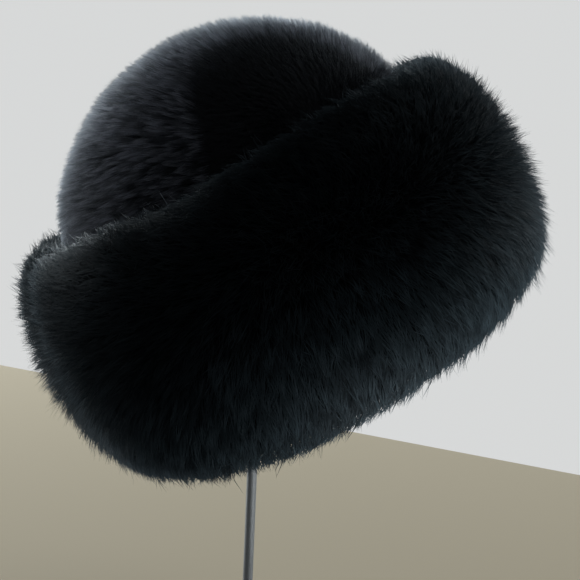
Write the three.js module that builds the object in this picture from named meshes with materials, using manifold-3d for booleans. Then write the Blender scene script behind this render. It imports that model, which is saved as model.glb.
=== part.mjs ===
// A black fur hat on its display stand.
// The hat is a short-haired dome, the crown, with a deep long-haired cuff wrapped round its wall.
// It leans back on a plain metal stand: a round foot, a thin post and a domed rest inside the crown.
// Millimetres, +Z up, origin on the floor under the post. +X is the hat's front, which the lean lifts.

import * as THREE from "three";
import { mergeVertices } from "three/addons/utils/BufferGeometryUtils.js";
import Module from "manifold-3d";

// The hat in its own frame: z = 0 is where the crown comes out of the cuff.
const OVAL = 0.92; // the hat's width over its length, from ear to ear over front to back
const HEAD_RADIUS = 96; // half the length of the hollow that takes the head
const CROWN_RADIUS = 107; // half the length of the crown over its pile
const CROWN_HEIGHT = 80; // from the cuff's top to the crown's top
const DOME_POWER = 1.27; // 1 is an ellipse, more is a steeper dome
const PILE_WALL = 11; // pelt, padding and short pile together
const HAT_DEPTH = 122; // from the cuff's top down to the rim
const RIM_WALL = 4; // the bare wall where the cuff covers it, at the rim
const DOME_START = -8; // the height where the hollow starts to close

// The cuff's outer form, at the tips of its fur.
const CUFF_RADIUS = 117.5; // the ring's half-length at its top and hem
const CUFF_BULGE = 34; // how far its middle stands out past that
const CUFF_HALF_HEIGHT = 72;
const CUFF_MIDDLE = -62.5; // the height of its widest ring
const FUR_DEPTH = 9; // the gaps between locks reach this far below their tips
const CUFF_GAP = 0.45; // between the cuff and the crown's wall

// How the cuff differs round the hat: azimuth from the front, then millimetres out, up and down.
const CUFF_SHAPE = [
  { azimuth: 0, out: -1, up: -3, down: 0 },
  { azimuth: 45, out: 0, up: 0, down: 1 },
  { azimuth: 95, out: 1, up: 1, down: 0 },
  { azimuth: 140, out: -1, up: 0, down: 2 },
  { azimuth: 176, out: 6, up: 5, down: 0 },
  { azimuth: 212, out: 2, up: 1, down: 1 },
  { azimuth: 238, out: 1, up: 1, down: 3 },
  { azimuth: 257, out: 0, up: -5, down: 1 },
  { azimuth: 276, out: 1, up: 0, down: 1 },
  { azimuth: 302, out: 0, up: 1, down: 4 },
  { azimuth: 338, out: 2, up: 0, down: 2 },
];
const CUFF_JOIN = { azimuth: 199, depth: 6, halfWidth: 9 }; // where the strip's two ends meet

// The cuff's locks, in rows: each starts at one angle of the section, where -90 is the hem, 0 the
// widest ring and 90 the top edge, and is combed over the fur to another.
const LOCK_ROWS = [
  { start: 18, end: -20, count: 20, width: 44 },
  { start: -10, end: -50, count: 20, width: 43 },
  { start: -38, end: -76, count: 19, width: 41 },
  { start: -64, end: -106, count: 18, width: 38 },
  { start: 6, end: 46, count: 20, width: 43 },
  { start: 34, end: 76, count: 19, width: 41 },
  { start: 62, end: 106, count: 18, width: 37 },
];
const LOCK_SWIRL = 4; // degrees round the hat from a lock's root to its tip
// A lock's rings from its root: how far along it, how wide, and how high its ridge and its edges
// stand over the core. Its keel stays in the core, so that nothing is hollow under it.
const LOCK_RINGS = [
  { at: 0, size: 0.7, ridge: 0, edge: -6 },
  { at: 0.4, size: 1, ridge: 7.5, edge: -1 },
  { at: 0.76, size: 0.7, ridge: 10, edge: 3 },
];
const LOCK_KEEL = -9;
const LOCK_TIP = 11.5; // how high its tip stands over the core

// The stand.
const LEAN = 30; // degrees from upright, towards the back
const STAND_HEIGHT = 380;
const POST_RADIUS = 3;
const FOOT_RADIUS = 80;
const FOOT_EDGE = 4; // the foot's height at its edge
const FOOT_HUB = { radius: 10, height: 15 };
const REST_DOME = 80; // the radius of the rest's domed top
const REST_RADIUS = 45;
const REST_EDGE = 3;
const REST_HUB = { radius: 9, height: 12 };
const SOCKET_DEPTH = 11;
const SOCKET_GAP = 0.3;
const SEAT_GAP = 0.8; // between the smooth forms of rest and crown; their facets take some of it
const HAT_FORWARD = -17; // where the hat's centre is, from the post

const HAT_SIDES = 40;
const CORE_SIDES = 22;
const DOME_STEPS = 8;
const STAND_SIDES = 28;

const radians = THREE.MathUtils.degToRad;
const wasm = await Module();
wasm.setup();

// A closed geometry as a solid that can be joined and cut.
function solidFrom(geometry) {
  const bare = new THREE.BufferGeometry().setAttribute("position", geometry.getAttribute("position"));
  if (geometry.index) bare.setIndex(geometry.index);
  const merged = mergeVertices(bare, 1e-3);
  return new wasm.Manifold(
    new wasm.Mesh({
      numProp: 3,
      vertProperties: merged.attributes.position.array,
      triVerts: new Uint32Array(merged.index.array),
    }),
  );
}

function geometryFrom(solid) {
  const mesh = solid.getMesh();
  const geometry = new THREE.BufferGeometry();
  geometry.setAttribute("position", new THREE.BufferAttribute(new Float32Array(mesh.vertProperties), 3));
  geometry.setIndex(new THREE.BufferAttribute(new Uint32Array(mesh.triVerts), 1));
  geometry.computeVertexNormals();
  return geometry;
}

// Turns a profile of [radius, height] points about Z. The profile runs from the axis up round the
// outside and back to the axis, or closes on itself.
function turned(profile, sides, oval = 1) {
  const lathe = new THREE.LatheGeometry(
    profile.map(([radius, height]) => new THREE.Vector2(radius, height)),
    sides,
  );
  return lathe.rotateX(Math.PI / 2).scale(1, oval, 1);
}

// Crown

// A point of a dome, from its side at 0 to its top at 1.
function domePoint(radius, start, height, share) {
  const angle = (share * Math.PI) / 2;
  return [radius * Math.cos(angle), start + height * Math.sin(angle) ** DOME_POWER];
}

function domeProfile(radius, start, height, steps) {
  const points = [];
  for (let i = 0; i < steps; i++) points.push(domePoint(radius, start, height, i / steps));
  points.push([0, start + height]);
  return points;
}

const innerDomeHeight = CROWN_HEIGHT - PILE_WALL - DOME_START;

function makeCrown() {
  const outside = domeProfile(CROWN_RADIUS, 0, CROWN_HEIGHT, DOME_STEPS);
  const inside = domeProfile(HEAD_RADIUS, DOME_START, innerDomeHeight, DOME_STEPS).reverse();
  const profile = [...inside, [HEAD_RADIUS, -HAT_DEPTH], [HEAD_RADIUS + RIM_WALL, -HAT_DEPTH], ...outside];
  return turned(profile, HAT_SIDES, OVAL);
}

// Everything inside the cuff that its fur has to leave free: the crown, the hollow and the way in.
function makeClearance() {
  const rim = HEAD_RADIUS + RIM_WALL + CUFF_GAP;
  const wayIn = -HAT_DEPTH - 3 * FUR_DEPTH;
  const dome = domeProfile(CROWN_RADIUS + CUFF_GAP, 0, CROWN_HEIGHT + 2 * CUFF_GAP, DOME_STEPS);
  return turned([[0, wayIn], [rim, wayIn], [rim, -HAT_DEPTH], ...dome], HAT_SIDES, OVAL);
}

// Cuff

// The shape table's values at an azimuth, eased from row to row.
function cuffShape(azimuth) {
  const turn = ((azimuth % 360) + 360) % 360;
  const next = CUFF_SHAPE.findIndex((row) => row.azimuth > turn);
  const b = CUFF_SHAPE[next < 0 ? 0 : next];
  const a = CUFF_SHAPE[(next < 0 ? CUFF_SHAPE.length : next) - 1];
  const span = (b.azimuth - a.azimuth + 360) % 360;
  const ease = (1 - Math.cos((Math.PI * (turn - a.azimuth)) / span)) / 2;
  const mix = (name) => a[name] + (b[name] - a[name]) * ease;
  const off = (turn - CUFF_JOIN.azimuth) / CUFF_JOIN.halfWidth;
  const join = CUFF_JOIN.depth * Math.exp(-off * off);
  return { out: mix("out") - join, up: mix("up") - join / 2, down: mix("down") };
}

// A point of the cuff's section at an azimuth, as [radius, height]: angle -90 is the hem and 90 the top.
function sectionPoint(azimuth, angle, depth) {
  const { out, up, down } = cuffShape(azimuth);
  const rise = angle > 0 ? up : down;
  return [
    CUFF_RADIUS + (CUFF_BULGE + out - depth) * Math.cos(radians(angle)),
    CUFF_MIDDLE + (CUFF_HALF_HEIGHT + rise - depth) * Math.sin(radians(angle)),
  ];
}

function ringPoint(azimuth, [radius, height]) {
  const turn = radians(azimuth);
  return new THREE.Vector3(radius * Math.cos(turn), OVAL * radius * Math.sin(turn), height);
}

// The core that the locks grow from: the whole section, pulled in by the depth of the fur.
function makeCore() {
  const wallTop = [CROWN_RADIUS - 1, -6];
  const wallFoot = [HEAD_RADIUS + RIM_WALL - 1, -HAT_DEPTH];
  const positions = [];
  let rows = 0;
  for (let i = 0; i < CORE_SIDES; i++) {
    const azimuth = (360 * i) / CORE_SIDES;
    const section = [wallTop, wallFoot];
    for (let angle = -90; angle <= 90; angle += 30) section.push(sectionPoint(azimuth, angle, FUR_DEPTH));
    rows = section.length;
    for (const point of section) positions.push(...ringPoint(azimuth, point).toArray());
  }
  const index = [];
  for (let i = 0; i < CORE_SIDES; i++) {
    const next = (i + 1) % CORE_SIDES;
    for (let j = 0; j < rows; j++) {
      const above = (j + 1) % rows;
      index.push(i * rows + j, next * rows + j, next * rows + above);
      index.push(i * rows + j, next * rows + above, i * rows + above);
    }
  }
  const core = new THREE.BufferGeometry();
  core.setAttribute("position", new THREE.BufferAttribute(new Float32Array(positions), 3));
  core.setIndex(index);
  return core;
}

// One lock: a ridged tongue that follows the fur's form from its root and lifts off it to a tip.
function makeLock({ azimuth, start, turn, rise, width, lift }) {
  const pointOn = (at, height) =>
    ringPoint(azimuth + turn * at, sectionPoint(azimuth + turn * at, start + rise * at, FUR_DEPTH - height));
  const positions = [];
  for (const { at, size, ridge, edge } of LOCK_RINGS) {
    const way = pointOn(at + 0.1, 0).sub(pointOn(at - 0.1, 0));
    const out = pointOn(at, 1).sub(pointOn(at, 0));
    const side = new THREE.Vector3().crossVectors(out, way).setLength((size * width) / 2);
    const base = pointOn(at, edge);
    positions.push(...base.clone().add(side).toArray());
    positions.push(...pointOn(at, ridge * lift).toArray());
    positions.push(...base.clone().sub(side).toArray());
    positions.push(...pointOn(at, LOCK_KEEL).toArray());
  }
  positions.push(...pointOn(1, LOCK_TIP * lift).toArray());
  const tip = 4 * LOCK_RINGS.length;
  const index = [0, 3, 2, 0, 2, 1];
  for (let k = 0; k < 4; k++) {
    const next = (k + 1) % 4;
    for (let ring = 4; ring < tip; ring += 4) {
      const below = ring - 4;
      index.push(below + k, below + next, ring + next, below + k, ring + next, ring + k);
    }
    index.push(tip - 4 + k, tip - 4 + next, tip);
  }
  const lock = new THREE.BufferGeometry();
  lock.setAttribute("position", new THREE.BufferAttribute(new Float32Array(positions), 3));
  lock.setIndex(index);
  return lock;
}

// A number from -1 to 1 that is always the same for the same lock.
function wobble(row, column, channel) {
  const wave = Math.sin(row * 12.9898 + column * 78.233 + channel * 37.719) * 43758.5453;
  return 2 * (wave - Math.floor(wave)) - 1;
}

function makeLocks() {
  const solids = [];
  LOCK_ROWS.forEach((row, r) => {
    for (let k = 0; k < row.count; k++) {
      const lock = {
        azimuth: (360 * (k + (r % 2) / 2 + 0.2 * wobble(r, k, 0))) / row.count,
        start: row.start + 5 * wobble(r, k, 1),
        turn: LOCK_SWIRL + 5 * wobble(r, k, 2),
        rise: (row.end - row.start) * (1 + 0.15 * wobble(r, k, 3)),
        width: row.width * (1 + 0.12 * wobble(r, k, 4)),
        lift: 1 + 0.15 * wobble(r, k, 5),
      };
      solids.push(solidFrom(makeLock(lock)));
    }
  });
  return solids;
}

// Locks that cross can close off a pocket between them, whose walls are a shell of their own. Only
// the outer shell is kept, and merging its vertices can part another pocket from it.
function outerShell(solid) {
  const shells = solidFrom(geometryFrom(solid)).decompose();
  if (shells.length === 1) return solid;
  return outerShell(shells.sort((a, b) => b.volume() - a.volume())[0]);
}

function makeCuff() {
  const joined = wasm.Manifold.union([solidFrom(makeCore()), ...makeLocks()]).simplify(0.5);
  return geometryFrom(outerShell(joined.subtract(solidFrom(makeClearance()))));
}

// Stand

// How high the hat's centre is, so that the crown's hollow comes down on the domed rest.
function hatHeight() {
  const lean = radians(LEAN);
  const domeCentre = STAND_HEIGHT - REST_DOME;
  const reach = REST_DOME + SEAT_GAP;
  let height = 0;
  for (let share = 0.02; share < 1; share += 0.01) {
    const [x, z] = domePoint(HEAD_RADIUS, DOME_START, innerDomeHeight, share);
    for (const along of [x, -x]) {
      const forward = HAT_FORWARD + along * Math.cos(lean) - z * Math.sin(lean);
      const rise = along * Math.sin(lean) + z * Math.cos(lean);
      if (Math.abs(forward) > REST_RADIUS) continue;
      height = Math.max(height, domeCentre + Math.sqrt(reach ** 2 - forward ** 2) - rise);
    }
  }
  return height;
}

function makeFoot() {
  const socket = POST_RADIUS + SOCKET_GAP;
  const floor = FOOT_HUB.height - SOCKET_DEPTH;
  return turned(
    [
      [0, 0],
      [FOOT_RADIUS - 1, 0],
      [FOOT_RADIUS, 1],
      [FOOT_RADIUS, FOOT_EDGE - 1],
      [FOOT_RADIUS - 2, FOOT_EDGE],
      [FOOT_HUB.radius + 3, FOOT_EDGE + 2],
      [FOOT_HUB.radius, FOOT_EDGE + 5],
      [FOOT_HUB.radius, FOOT_HUB.height],
      [socket, FOOT_HUB.height],
      [socket, floor],
      [0, floor],
    ],
    STAND_SIDES,
  );
}

const restTop = (radius) => STAND_HEIGHT - REST_DOME + Math.sqrt(REST_DOME ** 2 - radius ** 2);
const restUnderside = restTop(REST_RADIUS) - REST_EDGE;
const postTop = restUnderside - REST_HUB.height + SOCKET_DEPTH;

function makeRest() {
  const socket = POST_RADIUS + SOCKET_GAP;
  const hubEnd = restUnderside - REST_HUB.height;
  const dome = [1, 0.75, 0.5, 0.25, 0].map((share) => [REST_RADIUS * share, restTop(REST_RADIUS * share)]);
  return turned(
    [
      [0, postTop + SOCKET_GAP],
      [socket, postTop + SOCKET_GAP],
      [socket, hubEnd],
      [REST_HUB.radius, hubEnd],
      [REST_HUB.radius, restUnderside],
      [REST_RADIUS, restUnderside],
      ...dome,
    ],
    STAND_SIDES,
  );
}

function makePost() {
  const bottom = FOOT_HUB.height - SOCKET_DEPTH + SOCKET_GAP;
  const post = new THREE.CylinderGeometry(POST_RADIUS, POST_RADIUS, postTop - bottom, 20);
  return post.rotateX(Math.PI / 2).translate(0, 0, (postTop + bottom) / 2);
}

// Assembly

const crownFur = new THREE.MeshStandardMaterial({ color: 0x101116, roughness: 0.75, metalness: 0 });
const cuffFur = new THREE.MeshStandardMaterial({ color: 0x0b0d0f, roughness: 0.85, metalness: 0 });
const greyMetal = new THREE.MeshStandardMaterial({ color: 0x6a6a6a, roughness: 0.4, metalness: 0.9 });
const greyPlastic = new THREE.MeshStandardMaterial({ color: 0x4d4d4f, roughness: 0.7, metalness: 0 });

function named(name, geometry, material) {
  const mesh = new THREE.Mesh(geometry, material);
  mesh.name = name;
  return mesh;
}

const hat = new THREE.Group();
hat.add(named("crown", makeCrown(), crownFur));
hat.add(named("cuff", makeCuff(), cuffFur));
hat.rotation.y = -radians(LEAN);
hat.position.set(HAT_FORWARD, 0, hatHeight());

const part = new THREE.Group();
part.add(hat);
part.add(named("stand_foot", makeFoot(), greyMetal));
part.add(named("stand_post", makePost(), greyMetal));
part.add(named("stand_rest", makeRest(), greyPlastic));

export default part;
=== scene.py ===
"""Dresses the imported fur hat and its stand: short plush fur on the crown, long fur on the cuff, a metal
stand, soft studio light and a camera at the photograph's angle. Metres, in the frame of the CAD part."""

import math

import bpy
import numpy as np
from mathutils import Matrix, Vector
from mathutils.kdtree import KDTree


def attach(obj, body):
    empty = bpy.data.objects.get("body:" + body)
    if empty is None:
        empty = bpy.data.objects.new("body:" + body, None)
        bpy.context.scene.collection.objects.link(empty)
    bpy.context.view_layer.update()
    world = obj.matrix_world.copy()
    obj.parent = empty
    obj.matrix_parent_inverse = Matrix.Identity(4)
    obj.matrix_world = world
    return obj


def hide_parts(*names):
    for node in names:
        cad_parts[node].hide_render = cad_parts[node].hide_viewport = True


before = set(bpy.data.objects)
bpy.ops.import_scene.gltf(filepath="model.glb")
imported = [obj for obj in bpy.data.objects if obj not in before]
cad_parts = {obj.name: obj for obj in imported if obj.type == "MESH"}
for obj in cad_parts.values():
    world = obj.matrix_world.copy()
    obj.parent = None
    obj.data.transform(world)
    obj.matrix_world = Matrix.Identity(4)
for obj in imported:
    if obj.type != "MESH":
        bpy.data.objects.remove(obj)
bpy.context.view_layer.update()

# The hat in its own frame, as the CAD part has it. Its z = 0 is where the crown comes out of the cuff.
LEAN = math.radians(30)
HAT_CENTRE = np.array([-0.017, 0, 0.30831])
OVAL = 0.92
HEAD_RADIUS = 0.096
CROWN_RADIUS = 0.107
CROWN_HEIGHT = 0.080
DOME_POWER = 1.27
HAT_DEPTH = 0.122
RIM_WALL = 0.004
DOME_START = -0.008
INNER_TOP = 0.069
CUFF_RADIUS = 0.1175
CUFF_BULGE = 0.034
CUFF_HALF_HEIGHT = 0.072
CUFF_MIDDLE = -0.0625
CUFF_GAP = 0.00045

# How the cuff differs round the hat: azimuth from the front in degrees, then metres out, up and down. It
# is the CAD part's table, refined so that the strands' tips, which end a little inside the outer form,
# meet the photograph's outline.
CUFF_SHAPE = [
    {"azimuth": 0, "out": 0.001, "up": -0.001, "down": -0.005},
    {"azimuth": 45, "out": 0, "up": 0.002, "down": -0.001},
    {"azimuth": 95, "out": 0.001, "up": 0.001, "down": 0},
    {"azimuth": 140, "out": -0.001, "up": 0, "down": 0.002},
    {"azimuth": 176, "out": 0.009, "up": 0.006, "down": 0},
    {"azimuth": 212, "out": 0.0005, "up": 0.001, "down": -0.0025},
    {"azimuth": 238, "out": 0, "up": 0.001, "down": 0.0015},
    {"azimuth": 257, "out": -0.0005, "up": -0.004, "down": 0.003},
    {"azimuth": 276, "out": 0, "up": 0, "down": 0.0015},
    {"azimuth": 302, "out": 0, "up": 0.002, "down": -0.0005},
    {"azimuth": 340, "out": 0.0045, "up": -0.0005, "down": -0.006},
]
CUFF_JOIN = {"azimuth": 199, "depth": 0.006, "half_width": 9}  # where the strip's two ends meet

# How deep under the outer form the bodies lie that the strands grow from.
CUFF_FUR_DEPTH = 0.020  # at the cuff's widest
CUFF_EDGE_DEPTH = 0.0085  # at its hem and its top edge
CROWN_FUR_DEPTH = 0.0075

# Fur gathers in tufts and tufts in locks: of how many strands, how far their tips draw together and how
# much their tones differ.
CUFF_TUFT = {"strands": 8, "pull": 0.5, "tone": 0.9}
CUFF_LOCK = {"strands": 60, "pull": 0.14, "tone": 0.4}
CROWN_TUFT = {"strands": 10, "pull": 0.6, "tone": 1}
CROWN_LOCK = {"strands": 50, "pull": 0.1, "tone": 0.4}

# The strands. Their numbers keep each piece under 200,000 triangles and the whole under a million.
CUFF_STRANDS = 96000
CROWN_STRANDS = 95000
CUFF_SEED = 23
CROWN_SEED = 11
CUFF_HAIR_RADIUS = 0.00017
CROWN_HAIR_RADIUS = 0.00019
RADIUS_SPREAD = 0.25
RADIUS_LIMITS = (0.5, 1.6)  # the least and the greatest, as shares of the middle one
ROOT_SINK = 0.001  # how far the roots reach into the pelt
CHANCE_TONE = 0.05  # what chance adds to a strand's tone
SWAY_TONE = 0.1  # what the fur's slow sway adds to it

# How the cuff's strands lie, in metres: combed along the section, hanging down along the section and round
# the hat, wandering from side to side, spread at random, how far their tips stand past the outer form, and
# how far they bend outwards.
HANGING = np.array([-math.sin(LEAN), 0, -math.cos(LEAN)])  # straight down, in the hat's own frame
COMB = 0.004
DROOP = 0.005
DROOP_ASIDE = 0.012
SWIRL = 0.003
SWIRL_WIDTH = 0.09
SWAY_WIDTH = 0.07
TIP_SPREAD = 0.004
TIP_PAST = -0.002
PAST_SPREAD = 0.002
BEND = 0.0028
PALE_TUFT_RISE = 0.0015  # how far the palest tufts stand up
HEM_THICKENING = 0.5  # how much thicker strands are at the hem and the top edge

# Where the cuff's comb turns from down to up, how far that place wanders and how wide the turn is, in
# degrees on the section.
PARTING = {"angle": 25, "wander": 10, "width": 25}

# The cuff's guard hairs, thinner than the rest and longer, by at least so many metres and up to so many
# more.
GUARD = {"share": 0.1, "least": 0.001, "more": 0.007, "thinness": 0.65}

# Where strands grow: from angle to angle on the cuff's section, and from share to share of the crown's dome.
CUFF_SPAN = (math.radians(-103), math.radians(104))
CROWN_SPAN = (-0.04, 1)

# How the crown's strands lie: their length in metres and, as shares of a strand's rise, how far they lean
# the way that the fur is brushed and to its side, each with its slow sway and its spread by chance. A sway's
# width is in metres.
BRUSHED = np.array([-1, 0, -0.15])  # over the top to the back
NAP = {
    "length": 0.0121,
    "length_spread": 0.08,
    "lean": 0.7,
    "lean_sway": 0.2,
    "lean_sway_width": 0.03,
    "lean_spread": 0.12,
    "aside_sway": 0.25,
    "aside_sway_width": 0.04,
    "aside_spread": 0.14,
}

# Painted shade on the crown, one patch on either side towards its front: the fur there is painted far darker,
# as it looks where its nap turns away from the light, beyond an edge along the hat and in front of one across
# it, which leans back towards its foot, with a rounded corner where the two meet. The edges along the hat
# come nearer to each other towards its front. The edge is ragged and fades, and the painted shade keeps a
# small share of the fur's tone.
CROWN_PAINTED_SHADE = {
    "side": 0.05,
    "taper": 0.1,
    "back": -0.007,
    "slope": 0.24,
    "corner": 0.018,
    "ragged": 0.0015,
    "fade": 0.004,
    "tone": 0.03,
}

# How pale the cuff's hair is painted, by the angle on its section in degrees: painted light and shade, palest
# at the hem, where light from below falls, and darker over the middle and the top edge, which lie in shade.
CUFF_PAINTED_LIGHT = [
    {"angle": -75, "tone": 1.3},
    {"angle": -35, "tone": 0.8},
    {"angle": 0, "tone": 0.3},
    {"angle": 45, "tone": 0.3},
    {"angle": 80, "tone": 0.28},
]

# How far a strand is shaded by the form that it grows on and not by its own roundness, as soft fur is.
CUFF_SOFTNESS = 0.78
CROWN_SOFTNESS = 0.35


def hat_to_row(points):
    """Points of the hat's own frame, leant back and set on the stand."""
    x, y, z = np.moveaxis(points, -1, 0)
    leant = np.stack(
        [x * math.cos(LEAN) - z * math.sin(LEAN), y, x * math.sin(LEAN) + z * math.cos(LEAN)], -1
    )
    return leant + HAT_CENTRE


def ring_point(azimuth, radius, height):
    """Points at azimuths in radians, on the hat's oval."""
    x, y, z = np.broadcast_arrays(radius * np.cos(azimuth), OVAL * radius * np.sin(azimuth), height)
    return np.stack([x, y, z], -1)


def cuff_shape(azimuth):
    """The shape table's values at azimuths in radians, eased from row to row."""
    turn = np.degrees(azimuth) % 360
    starts = np.array([row["azimuth"] for row in CUFF_SHAPE])
    a = np.searchsorted(starts, turn, side="right") - 1
    b = (a + 1) % len(CUFF_SHAPE)
    share = (turn - starts[a]) / ((starts[b] - starts[a]) % 360)
    ease = (1 - np.cos(math.pi * share)) / 2
    mixed = {}
    for name in ("out", "up", "down"):
        values = np.array([row[name] for row in CUFF_SHAPE])
        mixed[name] = values[a] + (values[b] - values[a]) * ease
    off = (turn - CUFF_JOIN["azimuth"]) / CUFF_JOIN["half_width"]
    join = CUFF_JOIN["depth"] * np.exp(-off * off)
    return mixed["out"] - join, mixed["up"] - join / 2, mixed["down"]


def cuff_point(azimuth, angle, depth):
    """Points of the cuff's outer form, or depth below it. Angle -90 degrees is the hem and 90 the top."""
    out, up, down = cuff_shape(azimuth)
    rise = np.where(angle > 0, up, down)
    radius = CUFF_RADIUS + (CUFF_BULGE + out - depth) * np.cos(angle)
    height = CUFF_MIDDLE + (CUFF_HALF_HEIGHT + rise - depth) * np.sin(angle)
    return ring_point(azimuth, radius, height)


def cuff_pelt_point(azimuth, angle, above):
    """Points of the pelt that the cuff's strands grow from, or above it."""
    depth = CUFF_EDGE_DEPTH + (CUFF_FUR_DEPTH - CUFF_EDGE_DEPTH) * np.cos(angle) ** 2
    return cuff_point(azimuth, angle, depth - above)


def crown_point(azimuth, share, depth):
    """Points of the crown's dome, or depth below it. Share 0 is at the cuff and 1 the top."""
    angle = share * math.pi / 2
    rise = np.sign(angle) * np.abs(np.sin(angle)) ** DOME_POWER
    return ring_point(azimuth, (CROWN_RADIUS - depth) * np.cos(angle), (CROWN_HEIGHT - depth) * rise)


def unit(vectors):
    shortest = 1e-12
    return vectors / np.maximum(np.linalg.norm(vectors, axis=-1, keepdims=True), shortest)


def surface_frame(surface, u, v):
    """At each u, v of a surface: unit vectors round the hat, up the section and straight out, and the
    lengths on the surface for each unit of u and of v."""
    step = 1e-4
    by_u = (surface(u + step, v, 0) - surface(u - step, v, 0)) / (2 * step)
    by_v = (surface(u, v + step, 0) - surface(u, v - step, 0)) / (2 * step)
    around, up = unit(by_u), unit(by_v)
    out = unit(np.cross(around, up))
    return around, up, out, np.linalg.norm(by_u, axis=-1), np.linalg.norm(by_v, axis=-1)


# Meshes


def mesh_piece(name, points, faces, materials, face_slots=None):
    """A smooth mesh object from points of the row's frame and equal-sided faces."""
    mesh = bpy.data.meshes.new(name)
    sides = faces.shape[1]
    mesh.vertices.add(len(points))
    mesh.vertices.foreach_set("co", points.astype(np.float32).ravel())
    mesh.loops.add(faces.size)
    mesh.loops.foreach_set("vertex_index", faces.astype(np.int32).ravel())
    mesh.polygons.add(len(faces))
    mesh.polygons.foreach_set("loop_start", np.arange(0, faces.size, sides, dtype=np.int32))
    mesh.polygons.foreach_set("use_smooth", np.ones(len(faces), bool))
    if face_slots is not None:
        mesh.polygons.foreach_set("material_index", face_slots.astype(np.int32))
    mesh.update(calc_edges=True)
    for material in materials:
        mesh.materials.append(material)
    piece = bpy.data.objects.new(name, mesh)
    bpy.context.scene.collection.objects.link(piece)
    return piece


def closed_ring(sections):
    """Points and faces of a solid ring from its sections: [azimuth, point of the section, xyz]."""
    around, rows = sections.shape[:2]
    i, j = np.meshgrid(np.arange(around), np.arange(rows), indexing="ij")
    i2, j2 = (i + 1) % around, (j + 1) % rows
    faces = np.stack([i * rows + j, i2 * rows + j, i2 * rows + j2, i * rows + j2], -1)
    return sections.reshape(-1, 3), faces.reshape(-1, 4)


def closed_cup(first, sections, last):
    """Points and triangles of a solid cup from its sections, closed by a point at either end of them."""
    around, rows = sections.shape[:2]
    points, quads = closed_ring(sections)
    quads = quads.reshape(around, rows, 4)[:, :-1].reshape(-1, 4)
    i = np.arange(around)
    i2 = (i + 1) % around
    start, end = np.full(around, len(points)), np.full(around, len(points) + 1)
    fans = [
        np.stack([start, i2 * rows, i * rows], -1),
        np.stack([end, i * rows + rows - 1, i2 * rows + rows - 1], -1),
    ]
    faces = np.concatenate([quads[:, [0, 1, 2]], quads[:, [0, 2, 3]], *fans])
    return np.concatenate([points, [first, last]]), faces


# Fur. A strand is a closed spike. A bent one has a point at its root, a ring of three at its middle and
# a point at its tip. A straight one is a thin cone. Its map has its tone across and its length up, so
# that one material serves every strand.

BENT_FACES = np.array([[0, 2, 1], [0, 3, 2], [0, 1, 3], [1, 2, 4], [2, 3, 4], [3, 1, 4]])
STRAIGHT_FACES = np.array([[0, 2, 1], [0, 1, 3], [1, 2, 3], [2, 0, 3]])
BENT_AT = 0.45  # how far along a bent strand its ring is

# Where a strand's points lie on the map, along it and across it. The small steps keep its faces from
# closing up there.
BENT_ALONG = np.array([0, BENT_AT, BENT_AT, BENT_AT, 1])
BENT_ACROSS = np.array([0, -1, 0, 1, 0])
STRAIGHT_ALONG = np.array([0, 0.03, 0.015, 1])
STRAIGHT_ACROSS = np.array([-1, 0, 1, 0])
TONE_STEP = 0.004
MAP_EDGE = 0.02  # how far the map stays from its own edges


def fur_piece(name, ring, tip, out, radius, tone, softness, material, rng, root=None):
    """One mesh of strands, from arrays of a row for each strand. The ring is a bent strand's middle and a
    straight one's root. Tone 0 is the darkest and 1 the palest."""
    count = len(ring)
    way = unit(tip - ring)
    across = unit(np.cross(way, rng.normal(size=(count, 3))))
    beside = np.cross(way, across)
    turns = np.arange(3) * 2 * math.pi / 3
    sides = [across * math.cos(turn) + beside * math.sin(turn) for turn in turns]
    corners = [ring + side * radius[:, None] for side in sides]
    if root is None:
        points, normals, strand_faces = [*corners, tip], [*sides, out], STRAIGHT_FACES
        map_along, map_across = STRAIGHT_ALONG, STRAIGHT_ACROSS
    else:
        points, normals, strand_faces = [root, *corners, tip], [out, *sides, out], BENT_FACES
        map_along, map_across = BENT_ALONG, BENT_ACROSS
    points = np.stack(points, 1)
    normals = unit((1 - softness) * np.stack(normals, 1) + softness * out[:, None])
    faces = strand_faces[None] + points.shape[1] * np.arange(count)[:, None, None]
    piece = mesh_piece(name, hat_to_row(points.reshape(-1, 3)), faces.reshape(-1, 3), [material])
    own_normals = piece.data.attributes.new("custom_normal", "FLOAT_VECTOR", "POINT")
    turned = hat_to_row(normals.reshape(-1, 3)) - HAT_CENTRE
    own_normals.data.foreach_set("vector", turned.astype(np.float32).ravel())
    map_side = 1 - 2 * MAP_EDGE
    u = MAP_EDGE + map_side * np.clip(tone[:, None] + TONE_STEP * map_across, 0, 1)
    v = np.broadcast_to(MAP_EDGE + map_side * map_along, u.shape)
    places = np.stack([u, v], -1)[:, strand_faces.ravel()]
    layer = piece.data.uv_layers.new(name="OFBake", do_init=False)
    layer.uv.foreach_set("vector", places.astype(np.float32).ravel())
    return piece


CELLS_ROUND = 360
CELLS_UP = 120


def scatter(surface, v_span, depth, count, rng):
    """Evenly spread random u, v all round a surface, from cells of known area."""
    u_edges = np.linspace(0, 2 * math.pi, CELLS_ROUND + 1)
    v_edges = np.linspace(*v_span, CELLS_UP + 1)
    corners = surface(u_edges[:, None], v_edges[None, :], depth)
    one = corners[1:, :-1] - corners[:-1, :-1]
    other = corners[:-1, 1:] - corners[:-1, :-1]
    area = np.linalg.norm(np.cross(one, other), axis=-1).ravel()
    total = np.cumsum(area) / area.sum()
    cell = np.searchsorted(total, (np.arange(count) + rng.random(count)) / count)
    cell = np.minimum(cell, len(area) - 1)
    i, j = np.divmod(cell, CELLS_UP)
    u = u_edges[i] + (u_edges[1] - u_edges[0]) * rng.random(count)
    v = v_edges[j] + (v_edges[1] - v_edges[0]) * rng.random(count)
    return u, v


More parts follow.
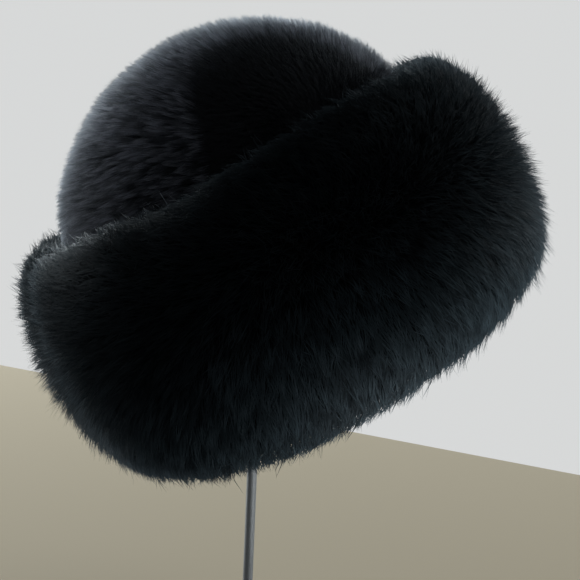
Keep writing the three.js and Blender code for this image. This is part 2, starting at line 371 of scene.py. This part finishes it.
def gather(tips, group, rng):
    """Draws the tips of neighbouring strands together, and gives each group a chance share of 0 to 1.
    Few groups get a large one."""
    chosen = rng.choice(len(tips), len(tips) // group["strands"], replace=False)
    tree = KDTree(len(chosen))
    for number, strand in enumerate(chosen):
        tree.insert(tips[strand], number)
    tree.balance()
    number = np.array([tree.find(tip)[1] for tip in tips])
    return tips + group["pull"] * (tips[chosen][number] - tips), rng.random(len(chosen))[number] ** 2


NOISE_WAVES = 24
NOISE_STRETCH = (0.5, 1.2)  # the slowest and the quickest wave for a scale
NOISE_STRENGTH = 0.8


def soft_noise(places, scale, rng):
    """Smooth noise from -1 to 1 at places in space, with features about scale across."""
    directions = unit(rng.normal(size=(NOISE_WAVES, 3))) * (2 * math.pi / scale)
    directions *= rng.uniform(*NOISE_STRETCH, (NOISE_WAVES, 1))
    phases = rng.uniform(0, 2 * math.pi, NOISE_WAVES)
    waves = np.sin(places @ directions.T + phases)
    return np.clip(waves.mean(1) * math.sqrt(NOISE_WAVES) * NOISE_STRENGTH, -1, 1)


def strand_radii(middle, count, rng):
    """Radii that vary by chance about a middle one."""
    return middle * (1 + RADIUS_SPREAD * rng.normal(size=count)).clip(*RADIUS_LIMITS)


def strand_tones(tuft, tuft_shares, lock, lock_shares, rng):
    """Tones from each strand's tuft, its lock and chance."""
    chance = CHANCE_TONE * rng.random(len(tuft_shares))
    return chance + tuft["tone"] * tuft_shares + lock["tone"] * lock_shares


# Materials


def new_material(name):
    material = bpy.data.materials.new(name)
    material.use_nodes = True
    nodes = material.node_tree.nodes
    return material, nodes, material.node_tree.links, nodes["Principled BSDF"]


def fur_material(name, dark, pale, root, shine, gloss, sheen):
    """Fur whose colour runs from dark to pale with a strand's tone, with painted shade darker towards its
    root.
    """
    material, nodes, links, shader = new_material(name)
    place = nodes.new("ShaderNodeUVMap")
    place.uv_map = "OFBake"
    split = nodes.new("ShaderNodeSeparateXYZ")
    links.new(place.outputs["UV"], split.inputs[0])
    tones = nodes.new("ShaderNodeMix")
    tones.data_type = "RGBA"
    tones.inputs["A"].default_value = (*dark, 1)
    tones.inputs["B"].default_value = (*pale, 1)
    links.new(split.outputs["X"], tones.inputs["Factor"])
    along = nodes.new("ShaderNodeMapRange")
    along.interpolation_type = "SMOOTHSTEP"
    along.inputs["From Min"].default_value = 0.1
    along.inputs["From Max"].default_value = 0.7
    links.new(split.outputs["Y"], along.inputs["Value"])
    # Painted shade: towards a strand's root its colour runs to the root colour, as shade deep in the fur.
    shade = nodes.new("ShaderNodeMix")
    shade.data_type = "RGBA"
    shade.inputs["A"].default_value = (*root, 1)
    links.new(along.outputs["Result"], shade.inputs["Factor"])
    links.new(tones.outputs["Result"], shade.inputs["B"])
    links.new(shade.outputs["Result"], shader.inputs["Base Color"])
    shader.inputs["Roughness"].default_value = 0.55
    shader.inputs["Specular IOR Level"].default_value = gloss
    shader.inputs["Specular Tint"].default_value = (*shine, 1)
    shader.inputs["Sheen Weight"].default_value = sheen
    shader.inputs["Sheen Roughness"].default_value = 0.4
    shader.inputs["Sheen Tint"].default_value = (*shine, 1)
    return material


def pelt_material(name, colour, paler):
    """The close underfur that the strands grow from."""
    material, nodes, links, shader = new_material(name)
    place = nodes.new("ShaderNodeTexCoord")
    noise = nodes.new("ShaderNodeTexNoise")
    noise.inputs["Scale"].default_value = 260
    noise.inputs["Detail"].default_value = 4
    links.new(place.outputs["Object"], noise.inputs["Vector"])
    mix = nodes.new("ShaderNodeMix")
    mix.data_type = "RGBA"
    mix.inputs["A"].default_value = (*colour, 1)
    mix.inputs["B"].default_value = (*paler, 1)
    links.new(noise.outputs["Fac"], mix.inputs["Factor"])
    links.new(mix.outputs["Result"], shader.inputs["Base Color"])
    bump = nodes.new("ShaderNodeBump")
    bump.inputs["Strength"].default_value = 0.6
    bump.inputs["Distance"].default_value = 0.002
    links.new(noise.outputs["Fac"], bump.inputs["Height"])
    links.new(bump.outputs["Normal"], shader.inputs["Normal"])
    shader.inputs["Roughness"].default_value = 0.95
    shader.inputs["Specular IOR Level"].default_value = 0.1
    return material


def metal_material():
    """Satin grey metal with fine turned lines."""
    material, nodes, links, shader = new_material("stand_metal")
    place = nodes.new("ShaderNodeTexCoord")
    stretch = nodes.new("ShaderNodeMapping")
    stretch.inputs["Scale"].default_value = (30, 30, 900)
    links.new(place.outputs["Object"], stretch.inputs["Vector"])
    lines = nodes.new("ShaderNodeTexNoise")
    lines.inputs["Scale"].default_value = 1
    lines.inputs["Detail"].default_value = 3
    links.new(stretch.outputs["Vector"], lines.inputs["Vector"])
    tones = nodes.new("ShaderNodeValToRGB")
    tones.color_ramp.elements[0].color = (0.33, 0.33, 0.33, 1)
    tones.color_ramp.elements[1].color = (0.45, 0.45, 0.45, 1)
    links.new(lines.outputs["Fac"], tones.inputs["Fac"])
    links.new(tones.outputs["Color"], shader.inputs["Base Color"])
    rough = nodes.new("ShaderNodeMapRange")
    rough.inputs["To Min"].default_value = 0.52
    rough.inputs["To Max"].default_value = 0.66
    links.new(lines.outputs["Fac"], rough.inputs["Value"])
    links.new(rough.outputs["Result"], shader.inputs["Roughness"])
    shader.inputs["Metallic"].default_value = 0.6
    return material


def plastic_material():
    """Matte grey plastic with a fine moulded grain."""
    material, nodes, links, shader = new_material("rest_plastic")
    place = nodes.new("ShaderNodeTexCoord")
    grain = nodes.new("ShaderNodeTexNoise")
    grain.inputs["Scale"].default_value = 1500
    links.new(place.outputs["Object"], grain.inputs["Vector"])
    bump = nodes.new("ShaderNodeBump")
    bump.inputs["Strength"].default_value = 0.3
    bump.inputs["Distance"].default_value = 0.0005
    links.new(grain.outputs["Fac"], bump.inputs["Height"])
    links.new(bump.outputs["Normal"], shader.inputs["Normal"])
    shader.inputs["Base Color"].default_value = (0.3, 0.3, 0.31, 1)
    shader.inputs["Roughness"].default_value = 0.6
    return material


# The crown

CROWN_COLUMNS = 96
CROWN_ROWS = 26
TOP_SHARE = 0.985  # of the dome, at the last ring before the point that closes it
FOOT_GAP = 0.0002  # how far the crown's wall draws in at its foot, clear of the cuff's


def make_crown_body(fur, inside):
    """The pelt under the crown's fur, with its wall and the hollow for the head."""
    azimuth = np.linspace(0, 2 * math.pi, CROWN_COLUMNS, endpoint=False)
    shares = np.linspace(TOP_SHARE, 0, CROWN_ROWS)
    outer = [crown_point(azimuth, share, CROWN_FUR_DEPTH) for share in shares]
    foot = ring_point(azimuth, HEAD_RADIUS + RIM_WALL - FOOT_GAP, -HAT_DEPTH)
    rim = ring_point(azimuth, HEAD_RADIUS, -HAT_DEPTH)
    inner = [
        ring_point(
            azimuth,
            HEAD_RADIUS * math.cos(angle),
            DOME_START + (INNER_TOP - DOME_START) * math.sin(angle) ** DOME_POWER,
        )
        for angle in shares[::-1] * math.pi / 2
    ]
    top, inner_top = (0, 0, CROWN_HEIGHT - CROWN_FUR_DEPTH), (0, 0, INNER_TOP)
    points, faces = closed_cup(top, np.stack([*outer, foot, rim, *inner], 1), inner_top)
    inner_points = np.zeros(len(points), bool)
    inner_points[:-2] = np.tile(np.arange(2 * len(shares) + 2) > len(shares), len(azimuth))
    inner_points[-1] = True
    slots = inner_points[faces].all(1)
    return mesh_piece("crown_body", hat_to_row(points), faces, [fur, inside], slots)


def painted_shade_tones(tips, rng):
    """What the painted shade leaves of a tone: its own share inside its edges and all of it outside."""
    corner = CROWN_PAINTED_SHADE["corner"]
    shade_side = CROWN_PAINTED_SHADE["side"] - CROWN_PAINTED_SHADE["taper"] * tips[:, 0]
    across_shade_edge = np.maximum(shade_side - np.abs(tips[:, 1]) + corner, 0)
    shade_back = CROWN_PAINTED_SHADE["back"] + CROWN_PAINTED_SHADE["slope"] * tips[:, 2]
    behind_shade_edge = np.maximum(shade_back - tips[:, 0] + corner, 0)
    outside = np.hypot(across_shade_edge, behind_shade_edge) - corner + CROWN_PAINTED_SHADE["ragged"] * rng.normal(size=len(tips))
    faded = np.clip(outside / CROWN_PAINTED_SHADE["fade"], 0, 1)
    return CROWN_PAINTED_SHADE["tone"] + (1 - CROWN_PAINTED_SHADE["tone"]) * faded


def make_crown_fur(material, count):
    rng = np.random.default_rng(CROWN_SEED)
    u, v = scatter(crown_point, CROWN_SPAN, CROWN_FUR_DEPTH, count, rng)
    _, _, out, _, _ = surface_frame(crown_point, u, v)
    place = crown_point(u, v, 0)
    root = crown_point(u, v, CROWN_FUR_DEPTH + ROOT_SINK)
    sway = soft_noise(place, NAP["lean_sway_width"], rng)
    length = NAP["length"] * (1 + NAP["length_spread"] * rng.normal(size=count).clip(-2, 2))
    brushed = unit(BRUSHED - out * (out @ BRUSHED)[:, None])
    lean = NAP["lean"] + NAP["lean_sway"] * sway + NAP["lean_spread"] * rng.normal(size=count)
    sway_aside = soft_noise(place, NAP["aside_sway_width"], rng)
    lean_aside = NAP["aside_sway"] * sway_aside + NAP["aside_spread"] * rng.normal(size=count)
    way = unit(out + lean[:, None] * brushed + lean_aside[:, None] * np.cross(out, brushed))
    tip, tuft_shares = gather(root + way * length[:, None], CROWN_TUFT, rng)
    tip, lock_shares = gather(tip, CROWN_LOCK, rng)
    radius = strand_radii(CROWN_HAIR_RADIUS, count, rng)
    tone = strand_tones(CROWN_TUFT, tuft_shares, CROWN_LOCK, lock_shares, rng)
    # Painted shade: the fur on the crown's two patches towards its front is painted far darker.
    tone = (tone + SWAY_TONE * sway) * painted_shade_tones(tip, rng)
    pieces = []
    for name, part in (("crown_fur_front", place[:, 1] < 0), ("crown_fur_back", place[:, 1] >= 0)):
        strands = (root[part], tip[part], out[part], radius[part], tone[part], CROWN_SOFTNESS)
        pieces.append(fur_piece(name, *strands, material, rng))
    return pieces


# The cuff

CUFF_COLUMNS = 120
CUFF_ROWS = 29
CUFF_PELT_END = 98  # degrees on the section where the pelt turns in to the crown's wall, at either end
CUFF_WALL_SHARES = (0.06, 0.35, 0.65, 0.985)  # of the crown's wall, from its top to its foot
CUFF_SIDES = ("front", "left", "back", "right")


def make_cuff_body(material):
    azimuth = np.linspace(0, 2 * math.pi, CUFF_COLUMNS, endpoint=False)
    angles = np.radians(np.linspace(-CUFF_PELT_END, CUFF_PELT_END, CUFF_ROWS))
    outer = [cuff_pelt_point(azimuth, angle, 0) for angle in angles]
    wall = []
    for share in CUFF_WALL_SHARES:
        radius = CROWN_RADIUS + CUFF_GAP + (HEAD_RADIUS + RIM_WALL - CROWN_RADIUS) * share
        wall.append(ring_point(azimuth, radius, -HAT_DEPTH * share))
    points, faces = closed_ring(np.stack([*outer, *wall], 1))
    return mesh_piece("cuff_body", hat_to_row(points), faces, [material])


def make_cuff_fur(material, count):
    rng = np.random.default_rng(CUFF_SEED)
    u, v = scatter(cuff_pelt_point, CUFF_SPAN, 0, count, rng)
    around, up, out, around_length, up_length = surface_frame(cuff_point, u, v)
    place = cuff_point(u, v, 0)
    sway = soft_noise(place, SWAY_WIDTH, rng)
    from_parting = np.degrees(v) - PARTING["angle"] - PARTING["wander"] * sway
    combed = COMB * np.tanh(from_parting / PARTING["width"])
    along = DROOP_ASIDE * (around @ HANGING) + SWIRL * soft_noise(place, SWIRL_WIDTH, rng)
    along += TIP_SPREAD * rng.normal(size=count)
    upward = DROOP * (up @ HANGING) + combed + TIP_SPREAD * rng.normal(size=count)
    past = TIP_PAST + PAST_SPREAD * rng.normal(size=count)
    guard = rng.random(count) < GUARD["share"]
    past += np.where(guard, GUARD["least"] + GUARD["more"] * rng.random(count), 0)
    root = cuff_pelt_point(u, v, -ROOT_SINK)
    tip = cuff_point(u + along / around_length, v + upward / up_length, -past)
    tip, tuft_shares = gather(tip, CUFF_TUFT, rng)
    tip, lock_shares = gather(tip, CUFF_LOCK, rng)
    tip += out * PALE_TUFT_RISE * tuft_shares[:, None]
    middle = root + BENT_AT * (tip - root) + BEND * out
    radius = strand_radii(CUFF_HAIR_RADIUS, count, rng)
    radius *= np.where(guard, GUARD["thinness"], 1) * (1 + HEM_THICKENING * np.sin(v) ** 2)
    tone = strand_tones(CUFF_TUFT, tuft_shares, CUFF_LOCK, lock_shares, rng) + SWAY_TONE * (1 + sway)
    # Painted light and shade by the angle on the section, palest at the hem.
    angles = [row["angle"] for row in CUFF_PAINTED_LIGHT]
    tone *= np.interp(np.degrees(v), angles, [row["tone"] for row in CUFF_PAINTED_LIGHT])
    side_span = 360 / len(CUFF_SIDES)
    side_number = np.floor((np.degrees(u) % 360 + side_span / 2) / side_span).astype(int) % len(CUFF_SIDES)
    pieces = []
    for number, side in enumerate(CUFF_SIDES):
        part = side_number == number
        strands = (middle[part], tip[part], out[part], radius[part], tone[part], CUFF_SOFTNESS)
        pieces.append(fur_piece("cuff_fur_" + side, *strands, material, rng, root[part]))
    return pieces


# The scene

CAMERA_FROM_HAT = Vector((0.0391, -0.6316, 0.0566))
CAMERA_WAY = Vector((-0.0065, 0.9807, -0.1944))
CAMERA_ROLL = math.radians(2.6)
PICTURE_SIDE = 580  # pixels
FOCAL_LENGTH = 1104  # pixels
SENSOR = 36  # millimetres


def make_camera():
    data = bpy.data.cameras.new("camera")
    data.sensor_width = SENSOR
    data.lens = FOCAL_LENGTH / PICTURE_SIDE * SENSOR
    camera = bpy.data.objects.new("camera", data)
    bpy.context.scene.collection.objects.link(camera)
    way = CAMERA_WAY.normalized()
    level = way.cross(Vector((0, 0, 1))).normalized()
    upright = level.cross(way)
    right = math.cos(CAMERA_ROLL) * level + math.sin(CAMERA_ROLL) * upright
    up = math.cos(CAMERA_ROLL) * upright - math.sin(CAMERA_ROLL) * level
    turn = Matrix((right, up, -way)).transposed().to_4x4()
    camera.matrix_world = Matrix.Translation(Vector(HAT_CENTRE) + CAMERA_FROM_HAT) @ turn
    bpy.context.scene.camera = camera


# Softboxes far off, by their azimuth and height round the hat in degrees and their power, and flat
# ones just over the floor.
LIGHTS = [
    {"name": "back", "azimuth": 120, "height": 22, "power": 50},
    {"name": "back_left", "azimuth": 155, "height": 8, "power": 13},
    {"name": "left", "azimuth": 185, "height": 8, "power": 2},
    {"name": "back_right", "azimuth": 60, "height": 22, "power": 19},
    {"name": "right", "azimuth": 20, "height": 8, "power": 18},
    {"name": "front", "azimuth": 270, "height": 27, "power": 1.5},
    {"name": "top", "azimuth": 15, "height": 60, "power": 5},
]
LIGHT_DISTANCE = 2.6
LIGHT_SIDE = 1.0
LIGHT_AIM = Vector((0, 0, 0.29))
LIGHT_COLOUR = (0.9, 0.97, 1)
LOW_LIGHTS = [
    {"name": "low_right", "at": Vector((0.28, -0.2, 0.012)), "side": 0.3, "power": 1.0},
    {"name": "low_left", "at": Vector((-0.3, 0.2, 0.012)), "side": 0.3, "power": 0.7},
]


def make_light(name, at, way, side, power):
    """A square softbox at a place, shining against the way."""
    data = bpy.data.lights.new(name, "AREA")
    data.size = side
    data.energy = power
    data.color = LIGHT_COLOUR
    light = bpy.data.objects.new(name, data)
    light.location = at
    light.rotation_euler = way.to_track_quat("Z", "Y").to_euler()
    light.visible_camera = False
    bpy.context.scene.collection.objects.link(light)


def make_lights():
    for row in LIGHTS:
        azimuth, height = math.radians(row["azimuth"]), math.radians(row["height"])
        level = math.cos(height)
        way = Vector((math.cos(azimuth) * level, math.sin(azimuth) * level, math.sin(height)))
        make_light(row["name"], LIGHT_AIM + way * LIGHT_DISTANCE, way, LIGHT_SIDE, row["power"])
    for row in LOW_LIGHTS:
        make_light(row["name"], row["at"], Vector((0, 0, -1)), row["side"], row["power"])


FLOOR_FAR = 0.4605  # from the stand's axis to the floor's far edge
FLOOR_NEAR = -1.5
FLOOR_HALF = 1.7
FLOOR_TURN = math.radians(-24.5)
FLOOR_SEEN = (0.51, 0.43, 0.31, 1)
FLOOR_THROWN = (0.1, 0.1, 0.1, 1)  # what it throws back on the hat, kept low so that the fur stays black


def make_floor():
    """A plain pale floor that ends behind the hat, as high in the picture as in the photograph."""
    near = [(-FLOOR_HALF, FLOOR_NEAR), (FLOOR_HALF, FLOOR_NEAR)]
    far = [(FLOOR_HALF, FLOOR_FAR), (-FLOOR_HALF, FLOOR_FAR)]
    c, s = math.cos(FLOOR_TURN), math.sin(FLOOR_TURN)
    corners = np.array([[x * c - y * s, x * s + y * c, 0] for x, y in near + far])
    material, nodes, links, shader = new_material("floor")
    path = nodes.new("ShaderNodeLightPath")
    mix = nodes.new("ShaderNodeMix")
    mix.data_type = "RGBA"
    mix.inputs["A"].default_value = FLOOR_THROWN
    mix.inputs["B"].default_value = FLOOR_SEEN
    links.new(path.outputs["Is Camera Ray"], mix.inputs["Factor"])
    links.new(mix.outputs["Result"], shader.inputs["Base Color"])
    shader.inputs["Roughness"].default_value = 0.9
    mesh_piece("floor", corners, np.array([[0, 1, 2, 3]]), [material])


# The light from all round: the way that it is brightest, from where to where the strength runs along that
# way, and the strength at either end.
BRIGHT_WAY = (-0.25, 0.95, 0.15)
BRIGHT_FROM = -0.25
BRIGHT_TO = 0.5
BRIGHT = 0.03
DIM = 0.01
BRIGHT_COLOUR = (0.86, 0.95, 1, 1)
BACKGROUND_SEEN = (0.68, 0.69, 0.69, 1)


def make_world():
    """Bright behind the hat and dim before it, and to the camera an even pale background."""
    world = bpy.data.worlds.new("world")
    bpy.context.scene.world = world
    world.use_nodes = True
    nodes, links = world.node_tree.nodes, world.node_tree.links
    place = nodes.new("ShaderNodeTexCoord")
    along = nodes.new("ShaderNodeVectorMath")
    along.operation = "DOT_PRODUCT"
    along.inputs[1].default_value = Vector(BRIGHT_WAY).normalized()
    links.new(place.outputs["Generated"], along.inputs[0])
    strength = nodes.new("ShaderNodeMapRange")
    strength.interpolation_type = "SMOOTHSTEP"
    strength.inputs["From Min"].default_value = BRIGHT_FROM
    strength.inputs["From Max"].default_value = BRIGHT_TO
    strength.inputs["To Min"].default_value = DIM
    strength.inputs["To Max"].default_value = BRIGHT
    links.new(along.outputs["Value"], strength.inputs["Value"])
    lit = nodes["Background"]
    lit.inputs["Color"].default_value = BRIGHT_COLOUR
    links.new(strength.outputs["Result"], lit.inputs["Strength"])
    seen = nodes.new("ShaderNodeBackground")
    seen.inputs["Color"].default_value = BACKGROUND_SEEN
    path = nodes.new("ShaderNodeLightPath")
    choice = nodes.new("ShaderNodeMixShader")
    links.new(path.outputs["Is Camera Ray"], choice.inputs["Fac"])
    links.new(lit.outputs[0], choice.inputs[1])
    links.new(seen.outputs[0], choice.inputs[2])
    links.new(choice.outputs[0], nodes["World Output"].inputs["Surface"])


make_camera()
make_lights()
make_floor()
make_world()
bpy.context.scene.view_settings.view_transform = "Standard"

crown_hair = fur_material(
    "crown_hair",
    dark=(0.005, 0.005, 0.006),
    pale=(0.36, 0.365, 0.43),
    root=(0.035, 0.035, 0.042),
    shine=(0.85, 0.92, 1),
    gloss=0.3,
    sheen=0.8,
)
cuff_hair = fur_material(
    "cuff_hair",
    dark=(0.002, 0.003, 0.004),
    pale=(0.062, 0.085, 0.098),
    root=(0.006, 0.008, 0.01),
    shine=(0.7, 0.88, 1),
    gloss=0.15,
    sheen=0.12,
)
crown_pelt = pelt_material("crown_pelt", colour=(0.012, 0.012, 0.014), paler=(0.024, 0.024, 0.028))
cuff_pelt = pelt_material("cuff_pelt", colour=(0.001, 0.001, 0.001), paler=(0.003, 0.003, 0.003))
hollow_cloth = pelt_material("hollow_cloth", colour=(0.012, 0.012, 0.014), paler=(0.02, 0.02, 0.023))

crown_body = make_crown_body(crown_pelt, hollow_cloth)
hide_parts("crown")
cuff_body = make_cuff_body(cuff_pelt)
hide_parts("cuff")
crown_fur = make_crown_fur(crown_hair, CROWN_STRANDS)
cuff_fur = make_cuff_fur(cuff_hair, CUFF_STRANDS)
for piece in (crown_body, *crown_fur):
    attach(piece, "root")
for piece in (cuff_body, *cuff_fur):
    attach(piece, "root")

metal = metal_material()
plastic = plastic_material()
for node, material in (("stand_foot", metal), ("stand_post", metal), ("stand_rest", plastic)):
    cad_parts[node].material_slots[0].material = material
